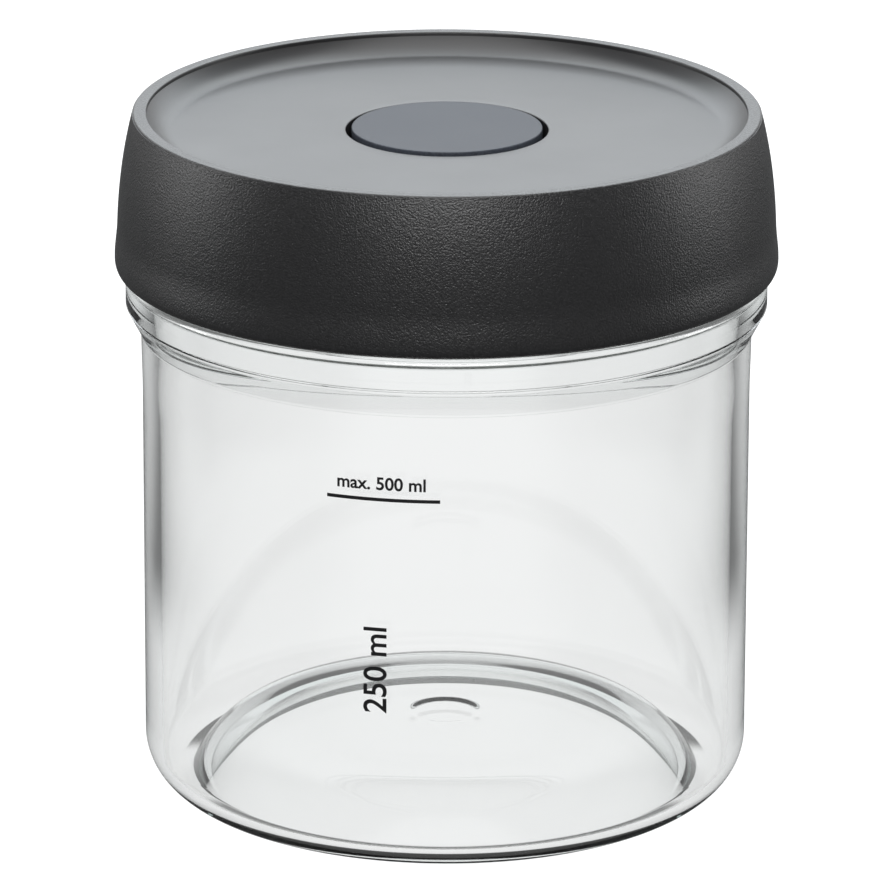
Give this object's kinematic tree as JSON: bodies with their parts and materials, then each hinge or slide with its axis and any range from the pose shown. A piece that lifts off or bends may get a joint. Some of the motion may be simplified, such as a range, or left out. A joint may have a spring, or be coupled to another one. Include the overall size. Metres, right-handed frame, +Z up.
{
  "type": "fermentation jar",
  "caption": "Round clear glass fermentation jar with a dark screw lid, a dished top and a spring-loaded vent button in its middle.",
  "frame": {"origin": "centre of the foot ring, on the surface that the jar stands on", "axes": "+Z up along the common axis of the jar, its thread and the vent button; -Y towards the side that carries the fill mark"},
  "size_m": [0.1178, 0.1178, 0.1245],
  "materials": {
    "clear_glass": "clear and polished",
    "lid_plastic": "fine grained, satin",
    "liner_plastic": "smooth moulded",
    "button_plastic": "fine grained, satin",
    "valve_plastic": "smooth moulded",
    "seal_silicone": "soft matt silicone",
    "spring_steel": "drawn stainless wire"
  },
  "bodies": {
    "jar": {"glass_jar": "clear_glass"},
    "seal": {"lid_gasket": "seal_silicone"},
    "lid": {"lid_shell": "lid_plastic", "lid_liner": "liner_plastic", "button_spring": "spring_steel"},
    "button": {"valve_button": "button_plastic", "valve_carrier": "valve_plastic", "valve_oring": "seal_silicone", "valve_umbrella": "seal_silicone"}
  },
  "joints": [
    {"name": "lid_lift", "type": "slide", "parent": "jar", "child": "seal", "axis": [0, 0, 1], "range_m": [0, 0.0301]},
    {"name": "lid_turn", "type": "hinge", "parent": "seal", "child": "lid", "pos_m": [0, 0, 0.0956], "axis": [0, 0, 1], "range_deg": [0, 720]},
    {"name": "button_press", "type": "slide", "parent": "lid", "child": "button", "axis": [0, 0, -1], "range_m": [0, 0.002], "stiffness_N_per_m": 600, "springref_m": -0.003, "deforming": ["button_spring"]}
  ],
  "couplings": [
    {"joint": "lid_lift", "follows": "lid_turn", "m_per_rad": 0.0023873}
  ]
}
